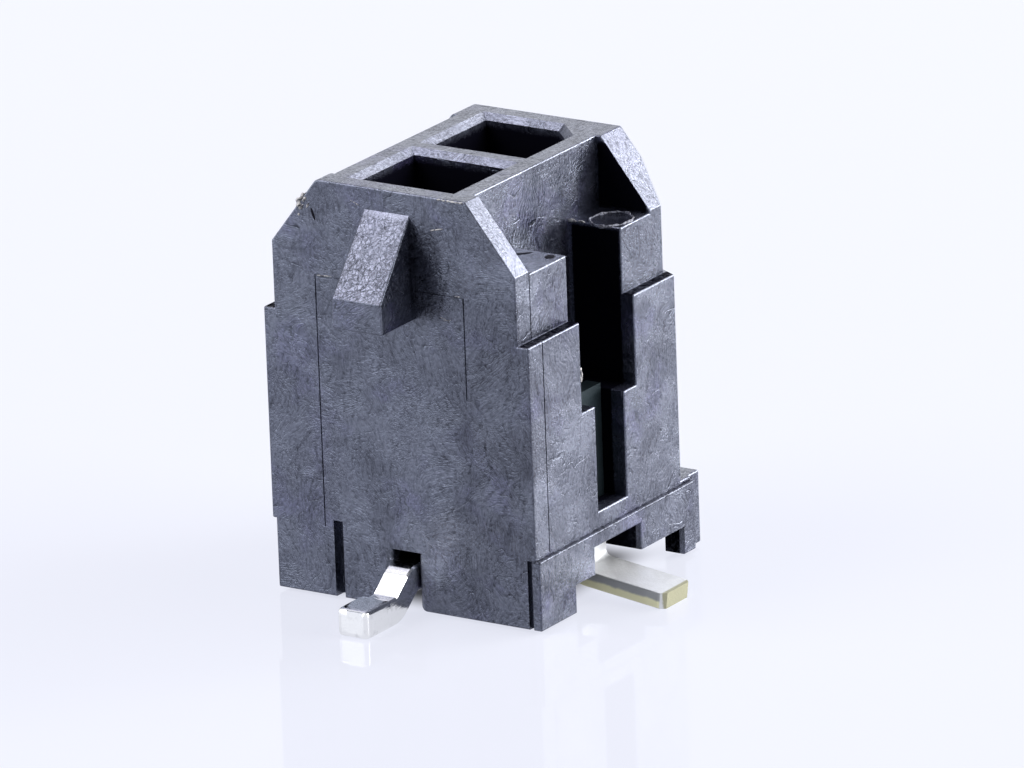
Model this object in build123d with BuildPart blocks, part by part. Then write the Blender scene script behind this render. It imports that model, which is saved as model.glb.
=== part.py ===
"""Two-way vertical surface-mount pin header: a shrouded housing, two bent contacts, two solder tabs.

Millimetres. X is zero on the plane of the two contacts, Y is zero midway between them and Z is zero on
the circuit board. The front, with the latch ramp, faces -Y.
"""
import os
from math import atan2, cos, radians, sin, tan

from build123d import *

# Contacts: square wire, bent out to the front and to the rear
contact_pitch = 3.00
pin_size = 0.64
pin_depth = 2.04
pin_clearance = 0.03
pin_point = 0.16
run_height = 0.84
leg_bend_reach = 3.36
leg_foot_reach = 4.04
leg_tip_reach = 5.38
knee_radius = 0.60
leg_bend_radius = 0.42
leg_corner = 0.12
leg_undercut = 0.30
wire_bevel = 0.04

# Sockets of the shroud
socket_width = 2.56
socket_length = 2.38
socket_floor = 2.70
lead_in = 0.15
key_cut = 0.60
wall = 0.59

# Shell, with drops measured down from the roof
standoff = 0.08
roof_height = 9.94
shoulder_drop = 1.60
pillar_drop = 1.66
step_drop = 3.20
roof_ledge = 0.12
lower_width = 7.08
step_ledge = 0.29
rear_flange = 0.90
corner_cut_x = 0.75
corner_cut_y = 0.41
worn_reach = 0.10
edge_round = 0.04

# Latch ramp on the front
ramp_shift = -0.10
ramp_width = 1.32
ramp_top_width = 1.23
ramp_reach = 1.37
ramp_top_drop = 0.52
ramp_nose_drop = 2.23
ramp_underside_drop = 2.94

# Slots in the two sides that take the solder tabs
slot_width = 2.28
slot_shelf = 4.61
slot_floor = 2.12

# Base, which the second mould half leaves slightly out of line with the shell
parting_height = 1.72
base_shift = 0.10
underside = 0.75
front_foot_length = 1.46
rear_base_inset = 0.17
rear_base_reach = 0.47
rear_base_height = 1.81
rear_foot_width = 0.36
rear_foot_length = 0.95
arch_width = 1.94
arch_height = 1.38
leg_slot_top = 1.46
leg_slot_round = 0.20
front_groove_x = -1.75
front_groove_width = 0.25
front_groove_height = 1.90
front_groove_depth = 0.30
edge_groove_inset = 0.27
edge_groove_width = 0.12
edge_groove_depth = 0.15

# Fine seams that the parts of the mould leave: beside the walls of the front flange, and on its face
seam_width = 0.035
seam_depth = 0.025
insert_centre = -0.12
insert_width = 3.96
insert_top_drop = 2.26
insert_right_length = 2.40

# Solder tabs: a flat stem in the slot, bent outwards into a foot that tips down to the board
tab_width = 1.17
tab_thickness = 0.38
tab_face = 2.95
tab_reach = 5.15
tab_top = 4.75
tab_tilt = 7.0
tab_bend_radius = 0.36
tab_corner = 0.14
tab_bevel = 0.03
tab_clearance = 0.02

# Sizes that follow from those above
shell_length = contact_pitch + socket_length + 2 * wall
front = -shell_length / 2
rear = shell_length / 2
core_side = socket_width / 2 + wall
roof_width = 2 * (core_side + roof_ledge)
upper_width = lower_width - 2 * step_ledge
rear_base_width = lower_width - rear_base_inset
pin_hole = pin_size + 2 * pin_clearance
slot_neck = tab_width + 2 * tab_clearance
base_right = base_shift + lower_width / 2
base_left = base_shift - lower_width / 2
pin_top = roof_height - pin_depth
shoulder_height = roof_height - shoulder_drop
pillar_height = roof_height - pillar_drop
step_height = roof_height - step_drop
ramp_top = roof_height - ramp_top_drop
ramp_nose = roof_height - ramp_nose_drop
ramp_underside = roof_height - ramp_underside_drop
insert_top = roof_height - insert_top_drop
insert_left = insert_centre - insert_width / 2
insert_right = insert_centre + insert_width / 2
tab_stem = tab_face - tab_thickness / 2
shoulder_slope = atan2(shoulder_drop, (upper_width - roof_width) / 2)
worn_radius = worn_reach / tan(shoulder_slope / 2)
tilt = radians(tab_tilt)

# Latch ramp: drawn from the front, a little narrower at its top, and trimmed to its side view
with BuildPart() as ramp:
    with BuildSketch(Plane.XZ.offset(-front)):
        with BuildLine():
            Polyline(
                (ramp_shift - ramp_width / 2, ramp_underside),
                (ramp_shift + ramp_width / 2, ramp_underside),
                (ramp_shift + ramp_top_width / 2, ramp_top),
                (ramp_shift - ramp_top_width / 2, ramp_top),
                close=True,
            )
        make_face()
    extrude(amount=ramp_reach)
    with BuildSketch(Plane.YZ.offset(ramp_shift)):
        with BuildLine():
            Polyline(
                (front, ramp_top),
                (front - ramp_reach, ramp_nose),
                (front - ramp_reach, ramp_underside),
                (front, ramp_underside),
                close=True,
            )
        make_face()
    extrude(amount=ramp_width, both=True, mode=Mode.INTERSECT)

# Everything cut into one side, then mirrored: channel over the pillars, stepped slot, stem slit, foot arch
with BuildPart() as side_openings:
    with BuildSketch(Plane.YZ.offset(core_side)):
        with BuildLine():
            Polyline(
                (front + wall, roof_height),
                (front + wall, pillar_height),
                (-slot_width / 2, pillar_height),
                (-slot_width / 2, slot_shelf),
                (-slot_neck / 2, slot_shelf),
                (-slot_neck / 2, slot_floor),
                (slot_neck / 2, slot_floor),
                (slot_neck / 2, slot_shelf),
                (slot_width / 2, slot_shelf),
                (slot_width / 2, pillar_height),
                (rear - rear_flange, pillar_height),
                (rear - rear_flange, roof_height),
                close=True,
            )
        make_face()
    extrude(amount=lower_width)
    with BuildSketch(Plane.XY.offset(slot_floor)):
        with Locations((tab_stem, 0)):
            Rectangle(tab_thickness + 2 * tab_clearance, slot_neck)
    extrude(amount=underside - slot_floor)
    with BuildSketch(Plane.YZ.offset(tab_face - tab_thickness - tab_clearance)):
        with Locations((0, standoff)):
            Rectangle(arch_width, arch_height - standoff, align=(Align.CENTER, Align.MIN))
    extrude(amount=lower_width)
    mirror(about=Plane.YZ)

with BuildPart() as housing:
    # Shell: its front view, with sloped shoulders over two widths, carried to the rear
    with BuildSketch(Plane.XZ.offset(-front)):
        with BuildLine():
            Polyline(
                (0, parting_height),
                (lower_width / 2, parting_height),
                (lower_width / 2, step_height),
                (upper_width / 2, step_height),
                (upper_width / 2, shoulder_height),
                (roof_width / 2, roof_height),
                (0, roof_height),
            )
            mirror(about=Plane.YZ)
        make_face()
    extrude(amount=-shell_length)

    # The roof's left edge is worn round, from a short way in
    fillet(housing.edges().filter_by(Axis.Y).group_by(Axis.Z)[-1].sort_by(Axis.X)[0], worn_radius)

    # Base, and its flange along the rear
    with BuildSketch(Plane.XY.offset(standoff)):
        with Locations((base_shift, 0)):
            Rectangle(lower_width, shell_length)
    extrude(amount=parting_height - standoff)
    with BuildSketch(Plane.XY.offset(standoff)):
        with Locations((base_left, rear + rear_base_reach)):
            Rectangle(rear_base_width, rear_foot_length, align=(Align.MIN, Align.MAX))
    extrude(amount=rear_base_height - standoff)

    # The rear corners of both widths are cut off at a slant in plan
    for side, low, high in (
        (lower_width / 2, rear_base_height, step_height),
        (upper_width / 2, step_height, roof_height),
    ):
        with BuildSketch(Plane.XY.offset(low)):
            with BuildLine():
                Polyline(
                    (side, rear),
                    (side - corner_cut_x, rear),
                    (side, rear - corner_cut_y),
                    close=True,
                )
            make_face()
            mirror(about=Plane.YZ)
        extrude(amount=high - low, mode=Mode.SUBTRACT)

    add(ramp.part)
    add(side_openings.part, mode=Mode.SUBTRACT)

    # All of the shell's outward edges are slightly round
    fillet([edge for edge in housing.edges() if not edge.is_interior], edge_round)

    # Sockets, the rear one keyed by a cut corner, with a bevel round each mouth
    with BuildSketch(Plane.XY.offset(roof_height)) as mouths:
        with GridLocations(0, contact_pitch, 1, 2):
            Rectangle(socket_width, socket_length)
        chamfer(mouths.vertices().group_by(Axis.Y)[-1].sort_by(Axis.X)[-1], key_cut)
    extrude(amount=socket_floor - roof_height, mode=Mode.SUBTRACT)
    rims = [edge for wire in housing.faces().sort_by(Axis.Z)[-1].inner_wires() for edge in wire.edges()]
    chamfer(rims, lead_in)

    # Square holes for the pins, and a channel from each one out to the front or the rear
    with BuildSketch(Plane.XY.offset(socket_floor)):
        with GridLocations(0, contact_pitch, 1, 2):
            Rectangle(pin_hole, pin_hole)
    extrude(amount=leg_slot_top - socket_floor, mode=Mode.SUBTRACT)
    with BuildSketch(Plane.XY.offset(leg_slot_top)):
        with Locations((0, -contact_pitch / 2 + pin_hole / 2)):
            Rectangle(pin_hole, leg_tip_reach, align=(Align.CENTER, Align.MAX))
        with Locations((0, contact_pitch / 2 - pin_hole / 2)):
            Rectangle(pin_hole, leg_tip_reach, align=(Align.CENTER, Align.MIN))
    extrude(amount=standoff - leg_slot_top, mode=Mode.SUBTRACT)

    # Underside raised between the front foot and the two rear feet
    with BuildSketch(Plane.XY.offset(standoff)):
        with Locations((base_left, front + front_foot_length)):
            Rectangle(
                lower_width,
                shell_length + rear_base_reach - front_foot_length - rear_foot_length,
                align=(Align.MIN, Align.MIN),
            )
        with Locations((base_left + rear_foot_width, rear + rear_base_reach)):
            Rectangle(rear_base_width - 2 * rear_foot_width, shell_length / 2, align=(Align.MIN, Align.MAX))
    extrude(amount=underside - standoff, mode=Mode.SUBTRACT)

    # The front foot's corners beside the leg are rounded
    foot_edges = housing.edges().filter_by(Axis.Y).group_by(Axis.Z)[0]
    fillet(foot_edges.sort_by(lambda edge: abs(edge.center().X))[:2], leg_slot_round)

    # Upright grooves low on the front face, the narrow one beside its right edge
    with BuildSketch(Plane.XZ.offset(-front)):
        with Locations((front_groove_x, standoff)):
            Rectangle(front_groove_width, front_groove_height - standoff, align=(Align.CENTER, Align.MIN))
    extrude(amount=-front_groove_depth, mode=Mode.SUBTRACT)
    with BuildSketch(Plane.XZ.offset(-front)):
        with Locations((base_right - edge_groove_inset, standoff)):
            Rectangle(edge_groove_width, parting_height - standoff, align=(Align.CENTER, Align.MIN))
    extrude(amount=-edge_groove_depth, mode=Mode.SUBTRACT)

    # Fine seams: upright ones on both sides, and an outline on the front face that stops at the ramp
    for side, low, high in (
        (lower_width / 2, parting_height, step_height),
        (upper_width / 2, step_height, pillar_height),
    ):
        with BuildSketch(Plane.XY.offset(low)):
            with Locations((side, front + wall)):
                Rectangle(2 * seam_depth, seam_width)
            mirror(about=Plane.YZ)
        extrude(amount=high - low, mode=Mode.SUBTRACT)
    with BuildSketch(Plane.XZ.offset(-front)):
        with BuildLine():
            Polyline(
                (insert_left, parting_height),
                (insert_left, insert_top),
                (ramp_shift - ramp_width / 2, insert_top),
            )
            Polyline(
                (insert_right, insert_top - insert_right_length),
                (insert_right, insert_top),
                (ramp_shift + ramp_width / 2, insert_top),
            )
        trace(line_width=seam_width)
    extrude(amount=-seam_depth, mode=Mode.SUBTRACT)

housing.part.label = "housing"

# Contact: the pin in its socket, a run through the base and a leg down to the board
with BuildPart() as contact_front:
    with BuildSketch(Plane.YZ):
        with BuildLine():
            FilletPolyline(
                (-contact_pitch / 2, pin_top),
                (-contact_pitch / 2, run_height),
                (-leg_bend_reach, run_height),
                (-leg_foot_reach, pin_size / 2),
                (-leg_tip_reach, pin_size / 2),
                radius=[knee_radius, leg_bend_radius, leg_bend_radius],
            )
        trace(line_width=pin_size)
    extrude(amount=pin_size / 2, both=True)
    chamfer(contact_front.faces().sort_by(Axis.Z)[-1].edges(), pin_point)
    tip = contact_front.faces().sort_by(Axis.Y)[0]
    chamfer(tip.edges().filter_by(Axis.Z), leg_corner)
    chamfer(contact_front.faces().sort_by(Axis.Y)[0].edges().sort_by(Axis.Z)[0], leg_undercut, leg_corner)
    cheeks = contact_front.faces().filter_by(Plane.YZ)
    chamfer([edge for edge in cheeks.edges() if edge.center().Z < pin_top - 2 * pin_point], wire_bevel)

contact_front.part.label = "contact_front"

with BuildPart() as contact_rear:
    mirror(contact_front.part, about=Plane.XZ)

contact_rear.part.label = "contact_rear"

# Solder tab: the lower edge of its tip touches the board, and its foot rises towards the stem
foot_end = tab_reach + sin(tilt) * tab_thickness / 2
foot_end_height = cos(tilt) * tab_thickness / 2
foot_root_height = foot_end_height + (foot_end - tab_stem) * tan(tilt)

with BuildPart() as solder_tab_right:
    with BuildSketch(Plane.XZ):
        with BuildLine():
            FilletPolyline(
                (tab_stem, tab_top),
                (tab_stem, foot_root_height),
                (foot_end, foot_end_height),
                radius=tab_bend_radius,
            )
        trace(line_width=tab_thickness)
    extrude(amount=tab_width / 2, both=True)
    tip = solder_tab_right.faces().sort_by(Axis.X)[-1]
    chamfer(tip.edges().group_by(Axis.Y)[0] + tip.edges().group_by(Axis.Y)[-1], tab_corner)
    chamfer(solder_tab_right.faces().filter_by(Plane.XZ).edges(), tab_bevel)

solder_tab_right.part.label = "solder_tab_right"

with BuildPart() as solder_tab_left:
    mirror(solder_tab_right.part, about=Plane.YZ)

solder_tab_left.part.label = "solder_tab_left"

os.makedirs("parts", exist_ok=True)
export_step(housing.part, "parts/housing.step")
export_step(contact_front.part, "parts/contact_front.step")
export_step(contact_rear.part, "parts/contact_rear.step")
export_step(solder_tab_right.part, "parts/solder_tab_right.step")
export_step(solder_tab_left.part, "parts/solder_tab_left.step")
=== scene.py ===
"""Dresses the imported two-way pin header and sets it on a pale studio floor.

Lengths in the classes are millimetres in the model's own frame: X across, Y from the front with the latch
ramp (-Y) to the rear, Z up from the circuit board. They become metres only where a mesh or a lamp is made.
"""
import logging
from dataclasses import dataclass, field
from enum import Enum

import bmesh
import bpy
import numpy as np
from mathutils import Matrix, Vector


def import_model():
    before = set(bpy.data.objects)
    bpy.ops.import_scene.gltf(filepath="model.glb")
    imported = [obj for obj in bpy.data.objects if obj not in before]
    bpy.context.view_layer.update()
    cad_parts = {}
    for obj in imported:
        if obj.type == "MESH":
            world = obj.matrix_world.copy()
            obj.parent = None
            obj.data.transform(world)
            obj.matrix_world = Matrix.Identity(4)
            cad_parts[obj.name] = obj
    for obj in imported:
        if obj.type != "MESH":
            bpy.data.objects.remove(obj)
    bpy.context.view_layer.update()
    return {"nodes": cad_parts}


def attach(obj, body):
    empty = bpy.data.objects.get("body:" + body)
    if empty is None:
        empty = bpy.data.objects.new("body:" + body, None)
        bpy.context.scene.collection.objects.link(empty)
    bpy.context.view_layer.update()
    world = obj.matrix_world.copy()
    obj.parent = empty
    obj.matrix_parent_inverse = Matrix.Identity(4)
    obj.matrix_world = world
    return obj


LOG = logging.getLogger("pin_header")
METRES = 0.001
PER_METRE = 1000.0
BODY = "root"
FRONT = -3.28
PILLAR_TOP = 8.28
AHEAD = (0.0, -1.0, 0.0)
UPWARD = (0.0, 0.0, 1.0)
NOISE_MIDDLE = 0.5
SAME_PLACE = 1e-9

Colour = tuple[float, float, float]
Point = tuple[float, float, float]
Socket = bpy.types.NodeSocket


class Slot(Enum):
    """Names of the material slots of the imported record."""

    HOUSING = "housing_plastic"
    CONTACT = "tinned_contact"


class Operation(Enum):
    """Operations of the Math and Vector Math nodes."""

    ADD = "ADD"
    SUBTRACT = "SUBTRACT"
    MULTIPLY = "MULTIPLY"
    MAXIMUM = "MAXIMUM"
    ABSOLUTE = "ABSOLUTE"


# Node graphs


@dataclass(frozen=True)
class Noise:
    """Settings of a Noise Texture node."""

    scale: float
    detail: float = 2.0
    rough: float = 0.5


@dataclass(frozen=True)
class Band:
    """A stretch of values that eases from 0 at its start to 1 at its end, and the weight of the result."""

    start: float
    end: float
    weight: float = 1.0


class NodeGraph:
    """A material's or the world's node tree, with short calls for the nodes that the finishes use."""

    def __init__(self, tree: bpy.types.NodeTree) -> None:
        """Empties the tree.

        Args:
            tree: the node tree to fill.
        """
        self.tree = tree
        tree.nodes.clear()

    @classmethod
    def of_material(cls, name: str) -> tuple["NodeGraph", bpy.types.Material]:
        """Makes a material that uses nodes.

        Args:
            name: the material's name.

        Returns:
            The graph and the material.
        """
        material = bpy.data.materials.new(name)
        material.use_nodes = True
        return cls(material.node_tree), material

    def node(
        self, kind: str, inputs: dict[str | int, object] | None = None, **settings: object
    ) -> bpy.types.Node:
        """Adds a node.

        Args:
            kind: the node's type, without the ShaderNode prefix.
            inputs: values or output sockets for its inputs, by name or number.
            **settings: the node's own properties.

        Returns:
            The new node.
        """
        made = self.tree.nodes.new("ShaderNode" + kind)
        for key, value in settings.items():
            setattr(made, key, value)
        for key, value in (inputs or {}).items():
            socket = made.inputs[key]
            if isinstance(value, Socket):
                self.tree.links.new(value, socket)
            else:
                socket.default_value = value
        return made

    def calc(self, operation: Operation, a: object, b: object = 0.0, clamp: bool = False) -> Socket:
        """Adds a Math node.

        Args:
            operation: what it does.
            a: first value or socket.
            b: second value or socket.
            clamp: keeps the result between 0 and 1.

        Returns:
            Its output.
        """
        return self.node("Math", {0: a, 1: b}, operation=operation.value, use_clamp=clamp).outputs[0]

    def plus(self, a: object, b: object, clamp: bool = False) -> Socket:
        """Adds two numbers."""
        return self.calc(Operation.ADD, a, b, clamp)

    def minus(self, a: object, b: object, clamp: bool = False) -> Socket:
        """Takes the second number from the first."""
        return self.calc(Operation.SUBTRACT, a, b, clamp)

    def times(self, a: object, b: object) -> Socket:
        """Multiplies two numbers."""
        return self.calc(Operation.MULTIPLY, a, b)

    def larger(self, a: object, b: object) -> Socket:
        """Keeps the larger of two numbers."""
        return self.calc(Operation.MAXIMUM, a, b)

    def unsigned(self, a: object) -> Socket:
        """Drops a number's sign."""
        return self.calc(Operation.ABSOLUTE, a)

    def total(self, values: list[Socket]) -> Socket:
        """Adds up numbers in their order and keeps the sum between 0 and 1."""
        result = values[0]
        for value in values[1:-1]:
            result = self.plus(result, value)
        return self.plus(result, values[-1], clamp=True)

    def vector(self, operation: Operation, a: object, b: object) -> Socket:
        """Adds a Vector Math node with two vector inputs and returns its vector."""
        return self.node("VectorMath", {0: a, 1: b}, operation=operation.value).outputs["Vector"]

    def grow(self, vector: Socket, scale: float) -> Socket:
        """Scales a vector by one number and returns it."""
        return self.node("VectorMath", {0: vector, "Scale": scale}, operation="SCALE").outputs["Vector"]

    def mapped(self, vector: Socket, scale: Point, turn: Point = (0, 0, 0)) -> Socket:
        """Turns and scales a vector by a Mapping node.

        Args:
            vector: the coordinates.
            scale: factor on each axis, after the turn.
            turn: Euler angles in radians.

        Returns:
            The mapped coordinates.
        """
        turned = self.node("Mapping", {"Vector": vector, "Rotation": turn}).outputs[0]
        return self.vector(Operation.MULTIPLY, turned, scale)

    def axes(self, vector: Socket) -> dict[str, Socket]:
        """Splits a vector into its X, Y and Z."""
        outputs = self.node("SeparateXYZ", {"Vector": vector}).outputs
        return {name: outputs[name] for name in "XYZ"}

    def noise(self, vector: Socket, noise: Noise, output: str = "Fac") -> Socket:
        """Adds a 3D Noise Texture node.

        Args:
            vector: the coordinates.
            noise: its settings.
            output: Fac for one value, or Color for three of them.

        Returns:
            The output that was asked for.
        """
        inputs = {"Vector": vector, "Scale": noise.scale, "Detail": noise.detail, "Roughness": noise.rough}
        return self.node("TexNoise", inputs).outputs[output]

    def ramp(self, value: Socket, low: float, high: float, to_low: float = 0.0, to_high: float = 1.0,
             smooth: bool = True) -> Socket:
        """Maps a value from one range to another and clamps it.

        Args:
            value: the socket to map.
            low: value that becomes to_low.
            high: value that becomes to_high.
            to_low: result at low.
            to_high: result at high.
            smooth: eases in and out instead of running straight.

        Returns:
            The mapped value.
        """
        made = self.node(
            "MapRange",
            {"Value": value, "From Min": low, "From Max": high, "To Min": to_low, "To Max": to_high},
            interpolation_type="SMOOTHSTEP" if smooth else "LINEAR",
        )
        return made.outputs[0]

    def ease(self, value: Socket, band: Band) -> Socket:
        """Eases a value over a band, without the band's weight."""
        return self.ramp(value, band.start, band.end)

    def share(self, value: Socket, band: Band) -> Socket:
        """Eases a value over a band and multiplies it by the band's weight."""
        return self.times(self.ease(value, band), band.weight)

    def blend(self, factor: Socket, a: Socket, b: Socket) -> Socket:
        """Mixes two numbers, 0 for the first and 1 for the second."""
        return self.node("Mix", {0: factor, 2: a, 3: b}).outputs[0]

    def mix(self, factor: object, a: object, b: object) -> Socket:
        """Mixes two colours.

        Args:
            factor: value or socket, 0 for a and 1 for b.
            a: first colour or socket.
            b: second colour or socket.

        Returns:
            The mixed colour.
        """
        made = self.node("Mix", data_type="RGBA")
        for number, value in ((0, factor), (6, a), (7, b)):
            socket = made.inputs[number]
            if isinstance(value, Socket):
                self.tree.links.new(value, socket)
            else:
                socket.default_value = (*value, 1.0) if isinstance(value, tuple) else value
        return made.outputs[2]

    def bump(self, height: Socket, strength: float, depth: float) -> Socket:
        """Adds a Bump node and returns its normal; the depth is in metres."""
        return self.node("Bump", {"Height": height, "Strength": strength, "Distance": depth}).outputs[0]

    def millimetres(self) -> Socket:
        """Adds the object's own coordinates, in millimetres, and returns them."""
        return self.grow(self.node("TexCoord").outputs["Object"], PER_METRE)

    def seen(self) -> Socket:
        """Tells apart the rays that show a surface: those from the eye, a mirror or a glass.

        Returns:
            1 for such a ray, 0 for light that is scattered.
        """
        path = self.node("LightPath").outputs
        eye = self.larger(path["Is Camera Ray"], path["Is Glossy Ray"])
        return self.larger(eye, path["Is Transmission Ray"])

    def surface(self, shader: bpy.types.Node) -> None:
        """Links a shader node to the material's surface."""
        out = self.node("OutputMaterial")
        self.tree.links.new(shader.outputs[0], out.inputs["Surface"])


# Finishes


@dataclass(frozen=True)
class Polish:
    """Roughness that follows a noise, from its smoothest at the noise's low to its roughest at the high."""

    smoothest: float
    roughest: float
    low: float = 0.3
    high: float = 0.7

    def follow(self, graph: NodeGraph, noise: Socket) -> Socket:
        """Works out the roughness from a noise."""
        return graph.ramp(noise, self.low, self.high, self.smoothest, self.roughest)


@dataclass(frozen=True)
class Span:
    """A stretch along one axis whose ends fade over a short length, perhaps on both sides of the middle."""

    low: float
    high: float
    fade: float
    mirrored: bool = False

    @classmethod
    def both(cls, low: float, high: float, fade: float) -> "Span":
        """The same stretch on both sides of the middle."""
        return cls(low, high, fade, True)

    @classmethod
    def within(cls, reach: float, fade: float) -> "Span":
        """All within a reach of the middle. The low end is below nought, so no unsigned value meets it."""
        return cls(-1.0, reach, fade, True)

    def mask(self, graph: NodeGraph, axis: Socket) -> Socket:
        """Marks the stretch.

        Args:
            graph: the material's graph.
            axis: the coordinate in millimetres.

        Returns:
            1 inside the stretch, falling to 0 over the fade outside it.
        """
        value = graph.unsigned(axis) if self.mirrored else axis
        rise = graph.ramp(value, self.low - self.fade, self.low)
        fall = graph.ramp(value, self.high, self.high + self.fade, 1.0, 0.0)
        return graph.times(rise, fall)


@dataclass(frozen=True)
class ShadeZone:
    """A box in the housing's coordinates with painted shade: a dull black, wholly or by a weight."""

    name: str
    x: Span
    y: Span
    z: Span
    weight: float = 1.0

    def mask(self, graph: NodeGraph, axes: dict[str, Socket]) -> Socket:
        """Marks the box.

        Args:
            graph: the material's graph.
            axes: the three coordinates in millimetres.

        Returns:
            The weight inside the box, 0 outside it.
        """
        flat = graph.times(self.x.mask(graph, axes["X"]), self.y.mask(graph, axes["Y"]))
        made = graph.times(graph.times(flat, self.z.mask(graph, axes["Z"])), self.weight)
        made.node.label = self.name
        return made


ON_FRONT = Span(-3.4, -3.2, 0.05)
# Painted shade on the housing, box by box, each weighted towards a dull black.
PAINTED_SHADE_ZONES = (
    # Painted shade in the sockets, in the slots and on the rear flange's inner face, which are dark
    # recesses.
    ShadeZone("sockets", Span.within(1.4, 0.1), Span.within(2.8, 0.1), Span(1.0, 9.55, 0.2)),
    ShadeZone("slots", Span.both(1.98, 3.15, 0.08), Span.within(1.15, 0.03), Span(2.15, 8.15, 0.1)),
    ShadeZone("rear_flange", Span.both(1.95, 3.10, 0.12), Span(2.34, 2.39, 0.02), Span(8.35, 9.70, 0.15)),
    # Painted shade along the ledges and the base's top edge, which dulls their highlights.
    ShadeZone("ledges", Span.both(3.28, 3.50, 0.02), Span.within(3.2, 0.1), Span(6.72, 6.76, 0.01), 0.75),
    ShadeZone("base_edge", Span.both(3.42, 3.90, 0.02), Span.within(3.4, 0.1), Span(1.68, 1.73, 0.02), 0.36),
    # Painted shade on the underside and the low faces beneath the base.
    ShadeZone("underside", Span(-3.28, 3.48, 0.04), Span.within(2.9, 0.03), Span(-1.0, 1.42, 0.03), 0.85),
    # Painted shadow on the front beside the latch ramp.
    ShadeZone("beside_ramp", Span(0.50, 1.00, 0.6), ON_FRONT, Span(7.4, 8.9, 0.6), 0.40),
    # Painted shade over the right part of the front face.
    ShadeZone("front_right", Span(1.9, 3.2, 1.1), ON_FRONT, Span(0.3, 7.6, 0.9), 0.16),
)


@dataclass(frozen=True)
class Fibres:
    """One lie of the glass fibres: a noise on coordinates that are turned, then drawn out one way."""

    turn: Point
    scale: Point = (32.0, 32.0, 2.3)
    noise: Noise = Noise(1.0, 2.0, 0.6)

    def height(self, graph: NodeGraph, flow: Socket) -> Socket:
        """Works out the fibres' height, about 0.5 on average, on bent coordinates in millimetres."""
        return graph.noise(graph.mapped(flow, self.scale, self.turn), self.noise)


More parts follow.
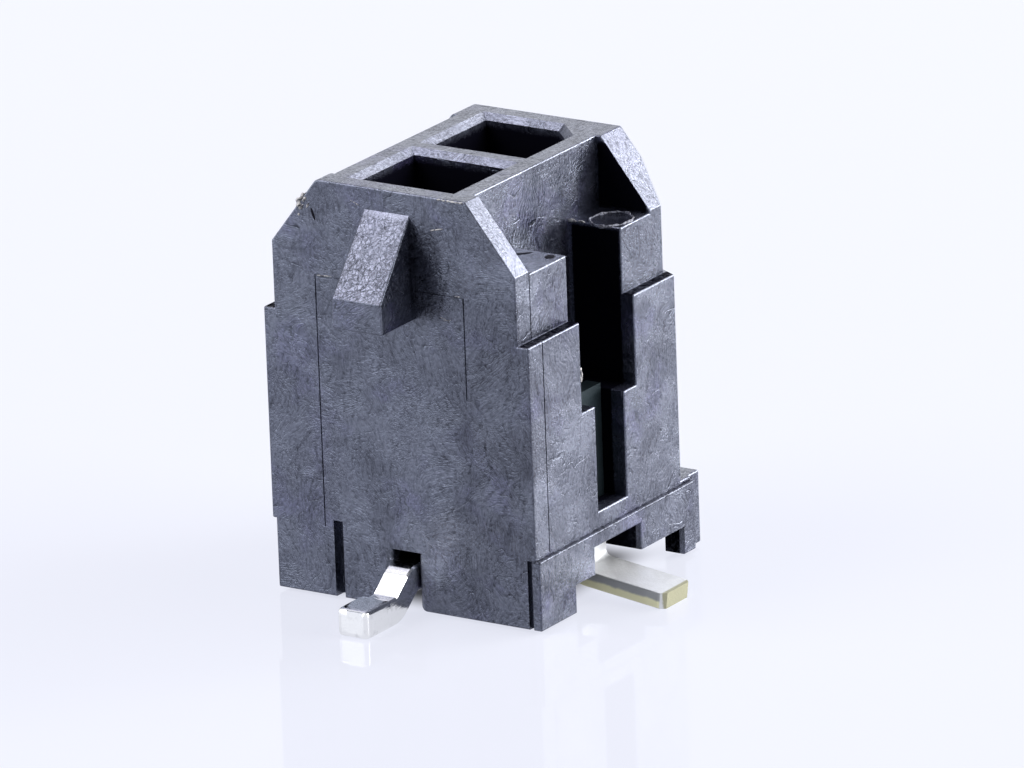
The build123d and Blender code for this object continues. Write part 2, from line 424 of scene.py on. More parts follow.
@dataclass(frozen=True)
class MouldedPlastic:
    """Black glass-filled plastic: a bluish satin gloss with flowing fibres, cloudy patches and arcs."""

    name: str = "moulded_black_plastic"
    deep: Colour = (0.003, 0.004, 0.010)
    pale: Colour = (0.050, 0.054, 0.076)
    violet: Colour = (0.058, 0.052, 0.128)
    sheen: Colour = (0.74, 0.80, 1.0)
    shade_and_dull_black: Colour = (0.004, 0.004, 0.008)
    polish: Polish = Polish(0.18, 0.31)
    ior: float = 2.36
    flow: Noise = Noise(0.45, 1.0)
    flow_reach: float = 1.0
    curl: Noise = Noise(1.8, 1.0)
    curl_reach: float = 0.11
    upright: Fibres = Fibres((0.15, 0.2, 0.0))
    slanted: Fibres = Fibres((0.6, -1.0, 0.3))
    crossed: Fibres = Fibres((-0.7, 0.9, 1.1))
    streaks: Fibres = Fibres((0.2, -0.15, 0.0), (8.0, 8.0, 0.9), Noise(1.0, 2.0, 0.55))
    patches: Noise = Noise(0.8, 1.0)
    slanted_from: Band = Band(0.44, 0.56)
    crossed_from: Band = Band(0.50, 0.62)
    grain: Noise = Noise(13.0, 3.0, 0.6)
    clouds: Noise = Noise(0.9, 4.0, 0.6)
    specks: Noise = Noise(6.5, 2.0)
    tint: Noise = Noise(0.62, 3.0, 0.6)
    violet_from: Band = Band(0.50, 0.66)
    arc_level: Noise = Noise(1.7, 1.0)
    arc_line: Band = Band(0.018, 0.004)
    arc_place: Noise = Noise(2.6, 1.0)
    arc_kept: Band = Band(0.50, 0.58)
    leather_bend: Noise = Noise(5.0, 2.0)
    leather_reach: float = 0.30
    leather_scale: float = 8.5
    leather_joint: Band = Band(0.16, 0.02)
    ramp_from_y: Band = Band(-3.30, -3.40)
    ramp_from_z: Band = Band(7.60, 7.75)
    light_fibres: Band = Band(0.34, 0.68, 0.42)
    light_clouds: Band = Band(0.36, 0.66, 0.30)
    light_grain: Band = Band(0.36, 0.66, 0.22)
    light_specks: Band = Band(0.66, 0.74, 0.5)
    dark_lines: float = 0.5
    dull_fibres: Band = Band(0.57, 0.41, 0.22)
    dull_grain: Band = Band(0.52, 0.36, 0.19)
    dull_clouds: Band = Band(0.62, 0.36, 0.11)
    dull_streaks: Band = Band(0.46, 0.34, 0.17)
    dull_arcs: float = 0.16
    dull_joints: float = 0.24
    grain_height: float = 0.9
    line_depth: float = 0.35
    bump_strength: float = 0.8
    bump_depth: float = 0.000012
    zones: tuple[ShadeZone, ...] = PAINTED_SHADE_ZONES

    def shove(self, graph: NodeGraph, place: Socket, noise: Noise, reach: float) -> Socket:
        """A push of up to the reach on each axis, from a noise's three values less their average."""
        push = graph.vector(Operation.SUBTRACT, graph.noise(place, noise, "Color"), (NOISE_MIDDLE,) * 3)
        return graph.grow(push, reach / NOISE_MIDDLE)

    def fibres(self, graph: NodeGraph, flow: Socket, place: Socket) -> Socket:
        """Lays the fibres in three directions, each in its own patches.

        Args:
            graph: the material's graph.
            flow: bent coordinates in millimetres.
            place: coordinates in millimetres.

        Returns:
            The fibres' height, about 0.5 on average.
        """
        patches = graph.axes(graph.noise(place, self.patches, "Color"))
        upright, slanted = self.upright.height(graph, flow), self.slanted.height(graph, flow)
        most = graph.blend(graph.ease(patches["X"], self.slanted_from), upright, slanted)
        crossed = self.crossed.height(graph, flow)
        return graph.blend(graph.ease(patches["Y"], self.crossed_from), most, crossed)

    def arcs(self, graph: NodeGraph, flow: Socket) -> Socket:
        """Fine broken curves: the places where a noise crosses its middle, kept where another noise is high.

        Args:
            graph: the material's graph.
            flow: bent coordinates in millimetres.

        Returns:
            1 on a curve, 0 beside it.
        """
        near = graph.unsigned(graph.minus(graph.noise(flow, self.arc_level), NOISE_MIDDLE))
        kept = graph.ease(graph.noise(flow, self.arc_place), self.arc_kept)
        return graph.times(graph.ease(near, self.arc_line), kept)

    def leather(self, graph: NodeGraph, place: Socket) -> Socket:
        """Small rounded grains with dark joints, on the latch ramp's sloped face alone.

        Args:
            graph: the material's graph.
            place: coordinates in millimetres.

        Returns:
            How far a point lies in a joint between two grains, 0 off the ramp.
        """
        push = graph.grow(graph.noise(place, self.leather_bend, "Color"), self.leather_reach)
        inputs = {"Vector": graph.vector(Operation.ADD, place, push), "Scale": self.leather_scale}
        cells = graph.node("TexVoronoi", inputs, feature="DISTANCE_TO_EDGE")
        axes = graph.axes(place)
        ahead, high = graph.ease(axes["Y"], self.ramp_from_y), graph.ease(axes["Z"], self.ramp_from_z)
        joint = graph.ease(cells.outputs["Distance"], self.leather_joint)
        return graph.times(joint, graph.times(ahead, high))

    def painted_shade(self, graph: NodeGraph, place: Socket) -> Socket:
        """Marks the painted shade: the weights of the boxes, added up.

        Args:
            graph: the material's graph.
            place: coordinates in millimetres.

        Returns:
            1 where the shade is painted in full, 0 on the open faces.
        """
        axes = graph.axes(place)
        return graph.total([zone.mask(graph, axes) for zone in self.zones])

    def build(self) -> bpy.types.Material:
        """Makes the material: satin gloss over a mottled colour; dull black for painted shade and lost
        gloss.

        Returns:
            The finished material.
        """
        graph, material = NodeGraph.of_material(self.name)
        place = graph.millimetres()
        flow = graph.vector(Operation.ADD, place, self.shove(graph, place, self.flow, self.flow_reach))
        flow = graph.vector(Operation.ADD, flow, self.shove(graph, place, self.curl, self.curl_reach))
        fibres = self.fibres(graph, flow, place)
        grain = graph.noise(place, self.grain)
        clouds = graph.noise(flow, self.clouds)
        arcs, joints = self.arcs(graph, flow), self.leather(graph, place)
        lines = graph.larger(arcs, joints)

        tone = graph.plus(graph.share(fibres, self.light_fibres), graph.share(clouds, self.light_clouds))
        tone = graph.plus(tone, graph.share(grain, self.light_grain))
        tone = graph.plus(tone, graph.share(graph.noise(flow, self.specks), self.light_specks))
        tone = graph.minus(tone, graph.times(lines, self.dark_lines), clamp=True)
        tint = graph.ease(graph.noise(place, self.tint), self.violet_from)
        height = graph.plus(fibres, graph.times(grain, self.grain_height))
        height = graph.minus(height, graph.times(lines, self.line_depth))
        satin = graph.node(
            "BsdfPrincipled",
            {
                "Base Color": graph.mix(tone, self.deep, graph.mix(tint, self.pale, self.violet)),
                "Roughness": self.polish.follow(graph, clouds),
                "IOR": self.ior,
                "Specular Tint": (*self.sheen, 1.0),
                "Normal": graph.bump(height, self.bump_strength, self.bump_depth),
            },
        )
        lost = graph.total(
            [
                graph.share(fibres, self.dull_fibres),
                graph.share(grain, self.dull_grain),
                graph.share(clouds, self.dull_clouds),
                graph.share(self.streaks.height(graph, flow), self.dull_streaks),
                graph.times(arcs, self.dull_arcs),
                graph.times(joints, self.dull_joints),
            ]
        )
        dull = graph.node("BsdfDiffuse", {"Color": (*self.shade_and_dull_black, 1.0)})
        # Painted shade from the boxes, added to the gloss lost at random, mixes in the dull black.
        inside = graph.plus(self.painted_shade(graph, place), lost, clamp=True)
        graph.surface(graph.node("MixShader", {0: inside, 1: satin.outputs[0], 2: dull.outputs[0]}))
        return material


@dataclass(frozen=True)
class ScuffedPlastic:
    """The housing's plastic where it is torn or scratched: pale, dry and speckled."""

    name: str = "scuffed_plastic"
    pale: Colour = (0.74, 0.73, 0.72)
    dark: Colour = (0.10, 0.10, 0.12)
    specks: Noise = Noise(16.0, 3.0)
    pale_from: Band = Band(0.40, 0.56)
    roughness: float = 0.55
    bump_strength: float = 0.6
    bump_depth: float = 0.00003

    def build(self) -> bpy.types.Material:
        """Makes the material.

        Returns:
            The finished material.
        """
        graph, material = NodeGraph.of_material(self.name)
        speck = graph.noise(graph.millimetres(), self.specks)
        inputs = {
            "Base Color": graph.mix(graph.ease(speck, self.pale_from), self.dark, self.pale),
            "Roughness": self.roughness,
            "Normal": graph.bump(speck, self.bump_strength, self.bump_depth),
        }
        graph.surface(graph.node("BsdfPrincipled", inputs))
        return material


@dataclass(frozen=True)
class PaintedPitShade:
    """Painted shade in cracks and in a pit: a dull black that takes no sheen."""

    name: str = "painted_pit_shade_black"
    colour: Colour = (0.006, 0.006, 0.010)
    grey: Colour = (0.016, 0.016, 0.024)
    specks: Noise = Noise(12.0, 2.0)
    roughness: float = 0.9
    ior: float = 1.2

    def build(self) -> bpy.types.Material:
        """Makes the material.

        Returns:
            The finished material.
        """
        graph, material = NodeGraph.of_material(self.name)
        colour = graph.mix(graph.noise(graph.millimetres(), self.specks), self.colour, self.grey)
        inputs = {"Base Color": colour, "Roughness": self.roughness, "IOR": self.ior}
        graph.surface(graph.node("BsdfPrincipled", inputs))
        return material


@dataclass(frozen=True)
class BrightTin:
    """Bright tin plate on drawn square wire, with fine lengthwise lines."""

    name: str = "bright_tin_plate"
    colour: Colour = (0.86, 0.86, 0.84)
    shade: Colour = (0.66, 0.66, 0.65)
    line_scale: Point = (26.0, 2.2, 26.0)
    lines: Noise = Noise(1.0, 3.0)
    spots: Noise = Noise(5.0, 3.0)
    spots_from: Band = Band(0.55, 0.75, 0.6)
    polish: Polish = Polish(0.05, 0.19)
    bump_strength: float = 0.12
    bump_depth: float = 0.00002

    def build(self) -> bpy.types.Material:
        """Makes the material.

        Returns:
            The finished material.
        """
        graph, material = NodeGraph.of_material(self.name)
        place = graph.millimetres()
        lines = graph.noise(graph.mapped(place, self.line_scale), self.lines)
        spots = graph.share(graph.noise(place, self.spots), self.spots_from)
        inputs = {
            "Base Color": graph.mix(spots, self.colour, self.shade),
            "Metallic": 1.0,
            "Roughness": self.polish.follow(graph, lines),
            "Normal": graph.bump(lines, self.bump_strength, self.bump_depth),
        }
        graph.surface(graph.node("BsdfPrincipled", inputs))
        return material


@dataclass(frozen=True)
class MattTin:
    """Matt tin plate over brass sheet: bare at the foot's end, smeared over the cut sides' upper half."""

    name: str = "matt_tin_on_brass"
    colour: Colour = (0.69, 0.70, 0.71)
    shade: Colour = (0.58, 0.59, 0.60)
    brass: Colour = (0.37, 0.36, 0.245)
    smear: Colour = (0.33, 0.34, 0.34)
    core: Colour = (0.74, 0.72, 0.48)
    # Painted shade on the tab's stem, which stands in the dark slot.
    slot_shade: Colour = (0.012, 0.021, 0.026)
    clouds: Noise = Noise(3.0, 4.0)
    fine: Noise = Noise(18.0, 3.0)
    shade_from: Band = Band(0.35, 0.70, 0.7)
    ragged: float = 0.03
    bare_from: float = 5.10
    bare_fade: float = 0.04
    foot_root: float = 3.0
    foot_end: float = 5.2
    root_middle: float = 0.47
    end_middle: float = 0.19
    smear_ragged: float = 0.12
    smear_from: Band = Band(0.02, 0.09)
    cut_from: Band = Band(0.555, 0.575)
    slot_shade_from: float = 1.45
    slot_shade_fade: float = 0.15
    polish: Polish = Polish(0.48, 0.62)
    metallic: float = 0.75
    bump_strength: float = 0.3
    bump_depth: float = 0.00002

    def build(self) -> bpy.types.Material:
        """Makes the material.

        The line between smear and bare brass on a cut side follows the middle of the tilted foot.

        Returns:
            The finished material.
        """
        graph, material = NodeGraph.of_material(self.name)
        place = graph.millimetres()
        axes = graph.axes(place)
        cloud, fine = graph.noise(place, self.clouds), graph.noise(place, self.fine)
        plated = graph.mix(graph.share(cloud, self.shade_from), self.colour, self.shade)
        reach = graph.plus(graph.unsigned(axes["X"]), graph.times(fine, self.ragged))
        bare = graph.ramp(reach, self.bare_from, self.bare_from + self.bare_fade)
        middle = graph.ramp(
            reach, self.foot_root, self.foot_end, self.root_middle, self.end_middle, smooth=False
        )
        upper = graph.minus(graph.plus(axes["Z"], graph.times(cloud, self.smear_ragged)), middle)
        cut = graph.mix(graph.ease(upper, self.smear_from), self.core, self.smear)
        on_cut = graph.ease(graph.unsigned(axes["Y"]), self.cut_from)
        colour = graph.mix(bare, graph.mix(on_cut, plated, cut), self.brass)
        # Painted shade: higher up, where the stem stands in the slot, the tab turns near black.
        in_slot_shade = graph.ramp(axes["Z"], self.slot_shade_from - self.slot_shade_fade, self.slot_shade_from)
        inputs = {
            "Base Color": graph.mix(in_slot_shade, colour, self.slot_shade),
            "Metallic": self.metallic,
            "Roughness": self.polish.follow(graph, cloud),
            "Normal": graph.bump(fine, self.bump_strength, self.bump_depth),
        }
        graph.surface(graph.node("BsdfPrincipled", inputs))
        return material


@dataclass(frozen=True)
class StudioFloor:
    """Pale glossy table, bright to the eye and in reflections, with a painted shadow right beneath the
    header.
    """

    name: str = "pale_studio_floor"
    glow: Colour = (0.720, 0.738, 0.835)
    cloth: Colour = (0.125, 0.128, 0.135)
    bounce: Colour = (0.12, 0.123, 0.13)
    painted_shadow: float = 0.94
    painted_shadow_reach: Band = Band(3.1, 2.0)
    gloss_ior: float = 1.075
    gloss_roughness: float = 0.05

    def build(self) -> bpy.types.Material:
        """Makes the material.

        Returns:
            The finished material.
        """
        graph, material = NodeGraph.of_material(self.name)
        axes = graph.axes(graph.millimetres())
        # Painted shadow: the glow fades right beneath the header.
        painted_shadow = graph.times(*(graph.ease(graph.unsigned(axes[axis]), self.painted_shadow_reach) for axis in "XY"))
        strength = graph.minus(1.0, graph.times(painted_shadow, self.painted_shadow))
        glow = graph.node("Emission", {"Color": (*self.glow, 1.0), "Strength": strength})
        weak = graph.node("BsdfDiffuse", {"Color": (*self.cloth, 1.0)})
        body = graph.node("AddShader", {0: glow.outputs[0], 1: weak.outputs[0]})
        shine = graph.node("BsdfGlossy", {"Color": (1.0, 1.0, 1.0, 1.0), "Roughness": self.gloss_roughness})
        edge = graph.node("Fresnel", {"IOR": self.gloss_ior}).outputs[0]
        bright = graph.node("MixShader", {0: edge, 1: body.outputs[0], 2: shine.outputs[0]})
        plain = graph.node("BsdfDiffuse", {"Color": (*self.bounce, 1.0)})
        graph.surface(graph.node("MixShader", {0: graph.seen(), 1: plain.outputs[0], 2: bright.outputs[0]}))
        return material


# Meshes


class Surface:
    """A mesh worked out as whole arrays: a grid of points, closed along one or both parameters."""

    @staticmethod
    def grid_faces(
        rows: int, columns: int, close_rows: bool = False, close_columns: bool = False
    ) -> np.ndarray:
        """Lists the quads between neighbouring rows and columns of a grid.

        Args:
            rows: number of rows of points.
            columns: number of points in a row.
            close_rows: joins the last row to the first.
            close_columns: joins each row's last point to its first.

        Returns:
            An array of four point numbers for each quad.
        """
        row = np.arange(rows if close_rows else rows - 1)
        column = np.arange(columns if close_columns else columns - 1)
        r, c = np.meshgrid(row, column, indexing="ij")
        r2, c2 = (r + 1) % rows, (c + 1) % columns
        quads = np.stack([r * columns + c, r * columns + c2, r2 * columns + c2, r2 * columns + c], axis=-1)
        return quads.reshape(-1, 4)

    @staticmethod
    def make(name: str, points: np.ndarray, faces: list[list[int]], smooth: bool = True) -> bpy.types.Object:
        """Puts points and faces into a mesh object at the origin.

        Args:
            name: the object's name.
            points: array of points, in millimetres.
            faces: point numbers of each face.
            smooth: shades the faces smoothly.

        Returns:
            The new object, linked to the scene.
        """
        mesh = bpy.data.meshes.new(name)
        mesh.from_pydata((points.reshape(-1, 3) * METRES).tolist(), [], faces)
        mesh.polygons.foreach_set("use_smooth", np.full(len(mesh.polygons), smooth))
        mesh.update()
        made = bpy.data.objects.new(name, mesh)
        bpy.context.scene.collection.objects.link(made)
        return made

    @staticmethod
    def weld(piece: bpy.types.Object) -> None:
        """Joins points that lie at one place, such as a ring that shrinks to a pole.

        Args:
            piece: the piece to weld.
        """
        mesh = bmesh.new()
        mesh.from_mesh(piece.data)
        bmesh.ops.remove_doubles(mesh, verts=mesh.verts, dist=SAME_PLACE)
        bmesh.ops.recalc_face_normals(mesh, faces=mesh.faces)
        mesh.to_mesh(piece.data)
        mesh.free()


def dress(piece: bpy.types.Object, material: bpy.types.Material) -> None:
    """Puts one material on every slot of a piece.

    Args:
        piece: a CAD node or a new piece.
        material: the finish.
    """
    slots = piece.material_slots
    if slots:
        for place in slots:
            place.material = material
    else:
        piece.data.materials.append(material)


# Studio


@dataclass
class PhotoCamera:
    """The photograph's camera, for a picture of 1024 by 768 pixels."""

    azimuth: float = 33.249
    elevation: float = 17.912
    roll: float = -2.110
    focal_pixels: float = 12970.118
    distance: float = 293.643
    target: Point = (0.0, 0.0, 5.08)
    centre: tuple[float, float] = (476.715, 357.524)
    picture: tuple[int, int] = (1024, 768)
    sensor: float = 36.0
    nearest: float = 0.01
    farthest: float = 20.0

    def build(self) -> bpy.types.Object:
        """Places the camera so that the target falls on the centre pixel.

        The view direction comes from azimuth and elevation, and the roll turns the picture's right and up.
        The camera stands back along the view direction, moved sideways by the centre pixel's offset.

        Returns:
            The camera object.
        """
        a, e, r = np.radians((self.azimuth, self.elevation, self.roll))
        forward = np.array((-np.sin(a) * np.cos(e), np.cos(a) * np.cos(e), -np.sin(e)))
        level = np.array((np.cos(a), np.sin(a), 0.0))
        above = np.cross(level, forward)
        right = np.cos(r) * level + np.sin(r) * above
        up = np.cos(r) * above - np.sin(r) * level
        per_pixel = self.distance / self.focal_pixels
        across = (self.centre[0] - self.picture[0] / 2) * per_pixel
        along = (self.picture[1] / 2 - self.centre[1]) * per_pixel
        place = np.array(self.target) - self.distance * forward - across * right - along * up
        data = bpy.data.cameras.new("photo_camera")
        data.sensor_width = self.sensor
        data.lens = self.focal_pixels * self.sensor / self.picture[0]
        data.clip_start, data.clip_end = self.nearest, self.farthest
        camera = bpy.data.objects.new("photo_camera", data)
        turn = Matrix((right, up, -forward)).transposed().to_4x4()
        camera.matrix_world = Matrix.Translation(Vector(place * METRES)) @ turn
        bpy.context.scene.collection.objects.link(camera)
        bpy.context.scene.camera = camera
        return camera


@dataclass
class Lamp:
    """A square softbox that faces the middle of the header from one direction."""

    name: str
    towards: Point
    level: float
    size: float
    colour: Colour = (1.0, 1.0, 1.0)
    distance: float = 260.0
    target: Point = (0.0, 0.0, 5.0)

    def build(self) -> bpy.types.Object:
        """Makes the lamp, with the power that lights a facing white surface to the given level.

        Returns:
            The lamp object.
        """
        data = bpy.data.lights.new(self.name, "AREA")
        data.shape = "SQUARE"
        data.size = self.size * METRES
        data.color = self.colour
        data.energy = self.level * (np.pi * self.distance * METRES) ** 2
        lamp = bpy.data.objects.new(self.name, data)
        direction = Vector(self.towards).normalized()
        lamp.location = (Vector(self.target) + direction * self.distance) * METRES
        lamp.rotation_mode = "QUATERNION"
        lamp.rotation_quaternion = direction.to_track_quat("Z", "Y")
        bpy.context.scene.collection.objects.link(lamp)
        return lamp


COOL = (0.90, 0.95, 1.0)
LAMPS = (
    Lamp("key_softbox", (-0.50, -0.82, 0.15), 0.22, 110.0, COOL),
    Lamp("left_softbox", (-0.92, -0.36, 0.10), 0.22, 110.0, COOL),
    Lamp("side_softbox", (0.80, 0.45, 0.38), 1.80, 250.0),
    Lamp("low_softbox", (0.54, 0.83, 0.07), 1.00, 130.0),
    Lamp("shoulder_softbox", (0.42, 0.80, 0.435), 0.35, 160.0, (1.0, 0.955, 0.96)),
    Lamp("high_softbox", (-0.52, -0.48, 0.72), 0.62, 150.0, (1.0, 0.955, 1.0)),
    Lamp("back_softbox", (-0.50, 0.80, 0.33), 0.15, 200.0),
)


@dataclass
class Studio:
    """Floor, white surroundings and softboxes."""

    floor_reach: float = 2500.0
    floor_points: int = 9
    floor_drop: float = 0.002
    sky_light: float = 0.05
    sky_colour: Colour = (0.93, 0.945, 1.0)
    sky_seen: float = 0.98
    lamps: tuple[Lamp, ...] = LAMPS

    def build_world(self) -> None:
        """Lights the scene weakly from all sides, and shows white to the camera and in reflections."""
        world = bpy.data.worlds.new("white_surroundings")
        world.use_nodes = True
        bpy.context.scene.world = world
        graph = NodeGraph(world.node_tree)
        weak = graph.node("Background", {"Color": (*self.sky_colour, 1.0), "Strength": self.sky_light})
        white = graph.node("Background", {"Color": (*self.sky_colour, 1.0), "Strength": self.sky_seen})
        both = graph.node("MixShader", {0: graph.seen(), 1: weak.outputs[0], 2: white.outputs[0]})
        graph.tree.links.new(both.outputs[0], graph.node("OutputWorld").inputs["Surface"])

    def build_floor(self) -> bpy.types.Object:
        """Makes the flat floor, a grid of points just below the board plane.

        Returns:
            The floor object.
        """
        line = np.linspace(-self.floor_reach, self.floor_reach, self.floor_points)
        x, y = np.meshgrid(line, line, indexing="ij")
        points = np.stack([x, y, np.full_like(x, -self.floor_drop)], axis=-1)
        faces = Surface.grid_faces(self.floor_points, self.floor_points)[:, ::-1]
        floor = Surface.make("studio_floor", points, faces.tolist(), smooth=False)
        floor.data.materials.append(StudioFloor().build())
        return floor

    def build(self) -> None:
        """Builds the world, the floor and the lamps, and sets the plain view transform."""
        self.build_world()
        self.build_floor()
        for lamp in self.lamps:
            lamp.build()
        bpy.context.scene.view_settings.view_transform = "Standard"


# The header


@dataclass(frozen=True)
class Chip:
    """A small rugged grain on a surface: a centre and three half-axes, in millimetres."""

    centre: Point
    along: Point
    across: Point
    out: Point
    rugged: float = 0.0
    seed: float = 0.0
    waves: tuple[tuple[float, float, float], ...] = ((3, 4, 1.0), (5, -3, 2.3), (2, 7, 5.1))

    @classmethod
    def between(cls, start: Point, end: Point, width: float, height: float, normal: Point) -> "Chip":
        """Makes a thin sliver that runs from one point of a face to another.

        Args:
            start: first end.
            end: second end.
            width: half its width on the face.
            height: how far it stands out of the face.
            normal: unit vector out of the face.

        Returns:
            The sliver.
        """
        first, last, out = np.array(start), np.array(end), np.array(normal)
        along = (last - first) / 2
        across = np.cross(out, along)
        across = across / np.linalg.norm(across) * width
        return cls(tuple((first + last) / 2), tuple(along), tuple(across), tuple(out * height))

    def points(self, rows: int, columns: int) -> np.ndarray:
        """Works out the grain's surface.

        A sphere in latitude and longitude, whose radius is 1 plus sine waves of both angles, is stretched
        on the three half-axes: centre + r cos(lat) cos(lon) across + r cos(lat) sin(lon) out
        + r sin(lat) along. Each wave has its turns round the grain, its turns along it and its start, a
        multiple of the seed.

        Args:
            rows: rings from one pole to the other.
            columns: points on a ring.

        Returns:
            An array of rings by columns by three, where the first and last rings shrink to the poles.
        """
        lat = np.linspace(-np.pi / 2, np.pi / 2, rows)[:, None]
        lon = np.linspace(0.0, 2 * np.pi, columns, endpoint=False)[None, :]
        ripple = sum(
            np.sin(turns * lon + runs * lat + start * self.seed) for turns, runs, start in self.waves
        )
        radius = 1 + self.rugged * ripple * np.cos(lat)
        parts = (np.cos(lat) * np.cos(lon), np.cos(lat) * np.sin(lon), np.sin(lat) * np.ones_like(lon))
        axes = (self.across, self.out, self.along)
        offset = sum((radius * part)[..., None] * np.array(axis) for part, axis in zip(parts, axes))
        return np.array(self.centre) + offset


FACE_SCRATCHES = tuple(
    Chip.between((x1, FRONT, z1), (x2, FRONT, z2), width, height, AHEAD)
    for x1, z1, x2, z2, width, height in (
        (1.04, 9.15, 1.39, 9.24, 0.017, 0.010),
        (-1.07, 9.58, -0.80, 9.47, 0.012, 0.006),
        (-2.07, 7.68, -1.66, 7.70, 0.014, 0.006),
        (1.62, 7.69, 1.79, 7.70, 0.014, 0.006),
        (1.22, 7.16, 1.48, 7.07, 0.009, 0.005),
        (1.30, 7.08, 1.52, 7.12, 0.008, 0.005),
    )
)
SHOULDER_BURR = (
    Chip((-2.45, FRONT + 0.10, 9.36), (0.08, 0.02, 0.17), (0.08, 0.0, -0.03), (0.0, -0.125, 0.0), 0.17, 0.4),
    Chip((-2.40, FRONT + 0.02, 9.24), (0.05, 0.0, 0.07), (0.05, 0.0, 0.0), (0.0, -0.05, 0.0), 0.2, 2.0),
    Chip((-2.47, FRONT + 0.01, 9.05), (0.0, 0.0, 0.034), (0.034, 0.0, 0.0), (0.0, -0.026, 0.0), 0.1, 3.0),
    Chip((-2.31, FRONT + 0.01, 9.43), (0.05, 0.0, 0.05), (0.03, 0.0, -0.03), (0.0, -0.035, 0.0), 0.2, 4.0),
    Chip((-2.22, FRONT, 9.30), (0.03, 0.0, 0.06), (0.02, 0.0, -0.01), (0.0, -0.020, 0.0), 0.2, 6.0),
)
SLOT_FLASH = (
    Chip((3.52, -1.13, 5.50), (0.0, 0.0, 0.17), (0.035, 0.0, 0.0), (0.0, 0.055, 0.0), 0.12, 1.0),
    Chip((1.93, 1.14, PILLAR_TOP), (0.14, 0.0, 0.0), (0.0, 0.03, 0.0), (0.0, 0.0, 0.035), 0.16, 2.0),
    Chip((2.20, 1.15, PILLAR_TOP), (0.09, 0.0, 0.0), (0.0, 0.025, 0.0), (0.0, 0.0, 0.028), 0.16, 5.0),
)
ROOF_LIP_BURR = tuple(
    Chip((x, FRONT + 0.012, 9.905), (0.07, 0.0, 0.0), (0.0, 0.026, 0.0), (0.0, 0.0, 0.020), 0.18, 1.7 * x)
    for x in (1.30, 1.43, 1.55, 1.66, 1.78, 1.90)
)
# Painted shade: thin black slivers stand in for the shade in two cracks and a pit.
PAINTED_PIT_SHADE = (
    Chip.between((2.10, -1.72, PILLAR_TOP), (2.46, -1.28, PILLAR_TOP), 0.075, 0.003, UPWARD),
    Chip((2.98, -1.40, PILLAR_TOP), (0.10, 0.06, 0.0), (-0.06, 0.14, 0.0), (0.0, 0.0, 0.003), 0.12, 2.0),
    Chip.between((-2.14, FRONT, 9.26), (-2.04, FRONT, 8.97), 0.035, 0.003, AHEAD),
)


@dataclass
class EjectorRim:
    """The jagged rim of flash round the ejector mark on the rear pillar."""

    centre: tuple[float, float] = (2.72, 1.60)
    reach: tuple[float, float] = (0.46, 0.56)
    half_width: float = 0.022
    half_height: float = 0.035
    steps_round: int = 72
    steps_across: int = 10
    jags: tuple[tuple[float, int, float], ...] = ((0.30, 5, 1.0), (0.25, 9, 2.0), (0.18, 17, 0.0))
    bends: tuple[tuple[float, int, float], ...] = ((0.03, 4, 0.5), (0.02, 11, 0.0))

    @staticmethod
    def ripple(turn: np.ndarray, waves: tuple[tuple[float, int, float], ...]) -> np.ndarray:
        """1 plus sine waves of an angle, each with its height, its count and its start."""
        return sum((height * np.sin(count * turn + start) for height, count, start in waves), 1.0)

    def build(self, material: bpy.types.Material) -> bpy.types.Object:
        """Makes the rim.

        Its middle line is an ellipse that bends in and out by a few waves of the angle. Its tube is a
        closed loop whose half-width and half-height swell and thin with others, half sunk in the top.

        Args:
            material: the rim's finish.

        Returns:
            The new piece.
        """
        turn = np.linspace(0.0, 2 * np.pi, self.steps_round, endpoint=False)[:, None]
        ring = np.linspace(0.0, 2 * np.pi, self.steps_across, endpoint=False)[None, :]
        jag, reach = self.ripple(turn, self.jags), self.ripple(turn, self.bends)
        wide, tall = self.half_width * jag, self.half_height * jag
        x = self.centre[0] + np.cos(turn) * (self.reach[0] * reach + wide * np.cos(ring))
        y = self.centre[1] + np.sin(turn) * (self.reach[1] * reach + wide * np.cos(ring))
        z = PILLAR_TOP + tall * np.sin(ring)
        points = np.stack(np.broadcast_arrays(x, y, z), axis=-1)
        faces = Surface.grid_faces(self.steps_round, self.steps_across, close_rows=True, close_columns=True)
        made = Surface.make("ejector_rim", points, faces.tolist())
        dress(made, material)
        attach(made, BODY)
        return made


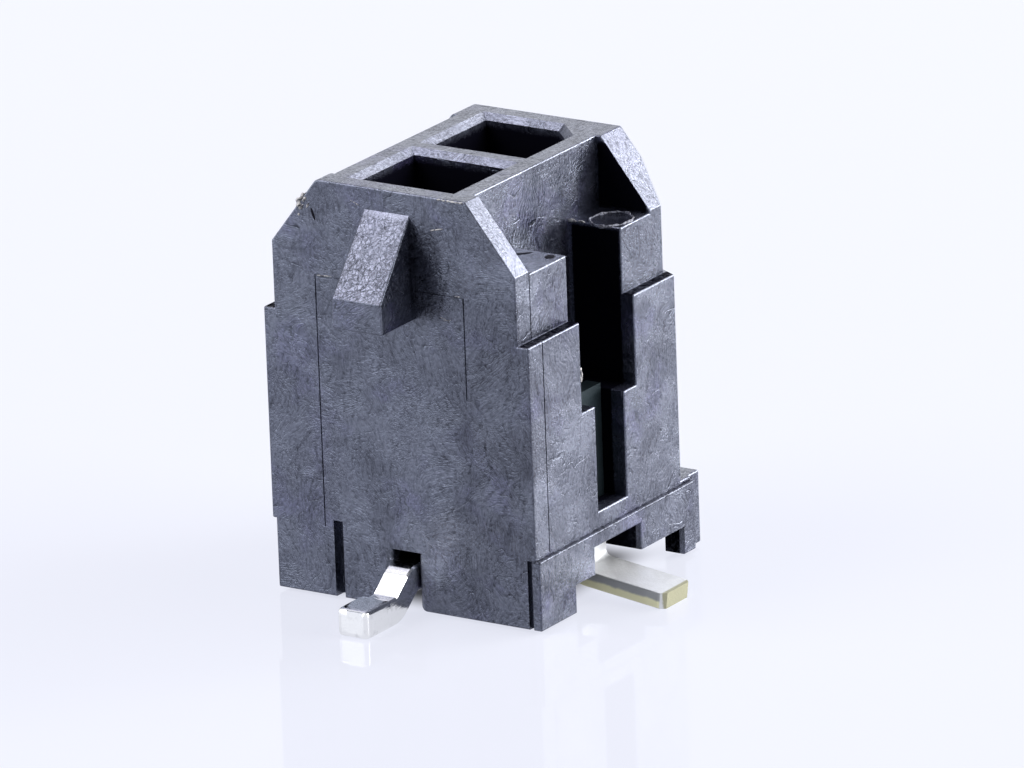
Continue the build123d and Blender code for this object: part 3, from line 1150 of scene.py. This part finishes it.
@dataclass
class Marks:
    """Fine moulding and handling marks on the housing: scratches, burrs, flash and painted shade in cracks
    and a pit.
    """

    scuffed: ScuffedPlastic = ScuffedPlastic()
    dim: ScuffedPlastic = ScuffedPlastic("dim_flash", pale=(0.26, 0.27, 0.33), dark=(0.03, 0.03, 0.045))
    shade_and_dull_black: PaintedPitShade = PaintedPitShade()
    scratches: tuple[Chip, ...] = FACE_SCRATCHES
    burr: tuple[Chip, ...] = SHOULDER_BURR
    flash: tuple[Chip, ...] = SLOT_FLASH
    lip: tuple[Chip, ...] = ROOF_LIP_BURR
    pit_shade: tuple[Chip, ...] = PAINTED_PIT_SHADE
    rim: EjectorRim = field(default_factory=EjectorRim)
    rows: int = 14
    columns: int = 12

    def chips(self, name: str, chips: tuple[Chip, ...], material: bpy.types.Material) -> bpy.types.Object:
        """Makes one piece of several chips, each with closed poles.

        Args:
            name: the piece's name.
            chips: the grains and slivers.
            material: their finish.

        Returns:
            The new piece.
        """
        points = np.concatenate([chip.points(self.rows, self.columns).reshape(-1, 3) for chip in chips])
        quads = Surface.grid_faces(self.rows, self.columns, close_columns=True)
        step = self.rows * self.columns
        faces = np.concatenate([quads[:, ::-1] + step * number for number in range(len(chips))])
        made = Surface.make(name, points, faces.tolist())
        Surface.weld(made)
        dress(made, material)
        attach(made, BODY)
        return made

    def build(self) -> list[bpy.types.Object]:
        """Builds every mark.

        Returns:
            The new pieces.
        """
        pale = self.scuffed.build()
        torn = {
            "face_scratches": self.scratches,
            "shoulder_burr": self.burr,
            "slot_flash": self.flash,
            "roof_lip_burr": self.lip,
        }
        made = [self.chips(name, chips, pale) for name, chips in torn.items()]
        # Painted shade in the cracks and the pit, as black slivers.
        made.append(self.chips("painted_pit_shade", self.pit_shade, self.shade_and_dull_black.build()))
        made.append(self.rim.build(self.dim.build()))
        return made


@dataclass
class Housing:
    """The shrouded moulding and its small marks."""

    plastic: MouldedPlastic = field(default_factory=MouldedPlastic)
    marks: Marks = field(default_factory=Marks)

    def build(self, nodes: dict[str, bpy.types.Object]) -> list[bpy.types.Object]:
        """Dresses the moulding and adds its marks.

        Args:
            nodes: the CAD nodes by name.

        Returns:
            The pieces that were dressed or made.
        """
        dress(nodes["housing"], self.plastic.build())
        return [nodes["housing"], *self.marks.build()]


@dataclass
class LegTip:
    """The tinned end of a leg: a pillow of plate, a little wider than the wire, with rounded edges."""

    name: str
    facing: float
    centre_x: float = -0.07
    half_width: float = 0.41
    outer_reach: float = 5.38
    inner_reach: float = 4.32
    top: float = 0.665
    squareness: float = 0.22
    rows: int = 40
    columns: int = 56

    def power(self, value: np.ndarray) -> np.ndarray:
        """Raises a cosine or sine to the squareness, with its sign kept."""
        return np.sign(value) * np.abs(value) ** self.squareness

    def build(self, material: bpy.types.Material) -> bpy.types.Object:
        """Builds the tip as a superellipsoid.

        With latitude and longitude as the two parameters, each half-axis is multiplied by cosines and
        sines that are raised to a small power with their sign kept. That turns the ball into a box with
        round edges.

        Args:
            material: the plate's finish.

        Returns:
            The new piece.
        """
        lat = np.linspace(-np.pi / 2, np.pi / 2, self.rows)[:, None]
        lon = np.linspace(-np.pi, np.pi, self.columns, endpoint=False)[None, :]
        half_length = (self.outer_reach - self.inner_reach) / 2
        middle = (self.outer_reach + self.inner_reach) / 2
        x = self.centre_x + self.half_width * self.power(np.cos(lat)) * self.power(np.cos(lon))
        y = self.facing * (middle + half_length * self.power(np.cos(lat)) * self.power(np.sin(lon)))
        z = self.top / 2 * (1 + self.power(np.sin(lat)) * np.ones_like(lon))
        faces = Surface.grid_faces(self.rows, self.columns, close_columns=True)
        made = Surface.make(self.name, np.stack(np.broadcast_arrays(x, y, z), axis=-1), faces.tolist())
        Surface.weld(made)
        dress(made, material)
        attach(made, BODY)
        return made


@dataclass
class Terminals:
    """The two bent contacts with their tips, and the two solder tabs."""

    contact_finish: BrightTin = BrightTin()
    tab_finish: MattTin = MattTin()
    tips: tuple[LegTip, ...] = (LegTip("front_leg_tip", -1.0), LegTip("rear_leg_tip", 1.0))

    def build(self, nodes: dict[str, bpy.types.Object]) -> list[bpy.types.Object]:
        """Dresses the contacts and the tabs.

        Args:
            nodes: the CAD nodes by name.

        Returns:
            The pieces that were dressed or made.
        """
        tin, tab = self.contact_finish.build(), self.tab_finish.build()
        made = [tip.build(tin) for tip in self.tips]
        finishes = dict.fromkeys(("contact_front", "contact_rear"), tin)
        finishes |= dict.fromkeys(("solder_tab_right", "solder_tab_left"), tab)
        for name, finish in finishes.items():
            dress(nodes[name], finish)
            made.append(nodes[name])
        return made


def main() -> None:
    """Builds the camera, the studio and the header, in that order."""
    logging.basicConfig(level=logging.INFO, format="%(name)s: %(message)s")
    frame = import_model()
    PhotoCamera().build()
    Studio().build()
    for part in (Housing(), Terminals()):
        for piece in part.build(frame["nodes"]):
            LOG.info("%s: %d faces", piece.name, len(piece.data.polygons))


if __name__ == "__main__":
    main()
